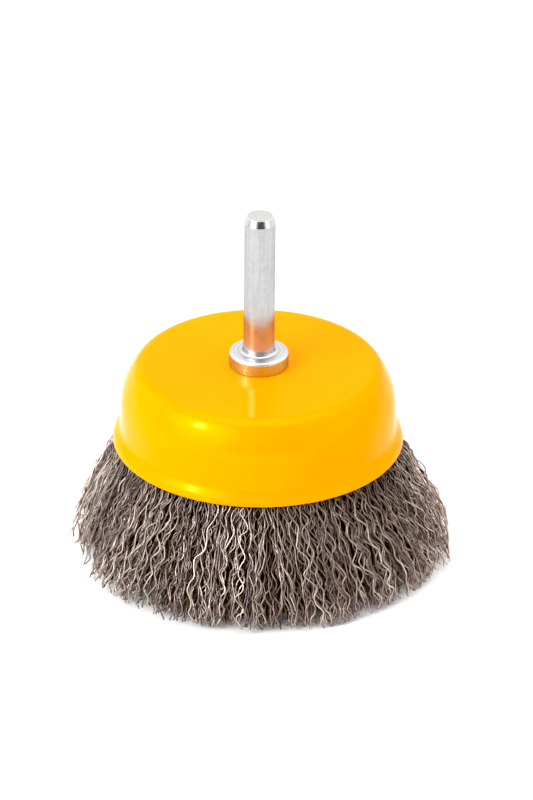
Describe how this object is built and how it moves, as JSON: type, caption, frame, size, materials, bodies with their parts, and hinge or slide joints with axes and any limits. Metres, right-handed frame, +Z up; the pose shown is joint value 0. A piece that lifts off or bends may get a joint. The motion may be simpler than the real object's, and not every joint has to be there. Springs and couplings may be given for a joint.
{
  "type": "wire cup brush",
  "caption": "Cup brush of crimped steel wire in a painted pressed cup, with a round shank and collar for a drill chuck.",
  "frame": {"origin": "on the brush's axis in the plane of the wire tips that it stands on, which is the centre of the bottom of its box", "axes": "+Z up along the shank, away from the wires; X and Y are any two square directions, as the brush is round"},
  "size_m": [0.075, 0.075, 0.0695],
  "materials": {
    "yellow_paint": "glossy orange-yellow powder coat",
    "zinc_steel": "bright zinc plate over turned steel",
    "plain_steel": "plain drawn wire",
    "crimped_wire": "brownish grey drawn steel wire, crimped"
  },
  "bodies": {
    "root": {"cup": "yellow_paint", "shank": "zinc_steel", "inner_cup": "zinc_steel", "anchor_ring": "plain_steel", "wire_fill": "crimped_wire"}
  },
  "joints": []
}
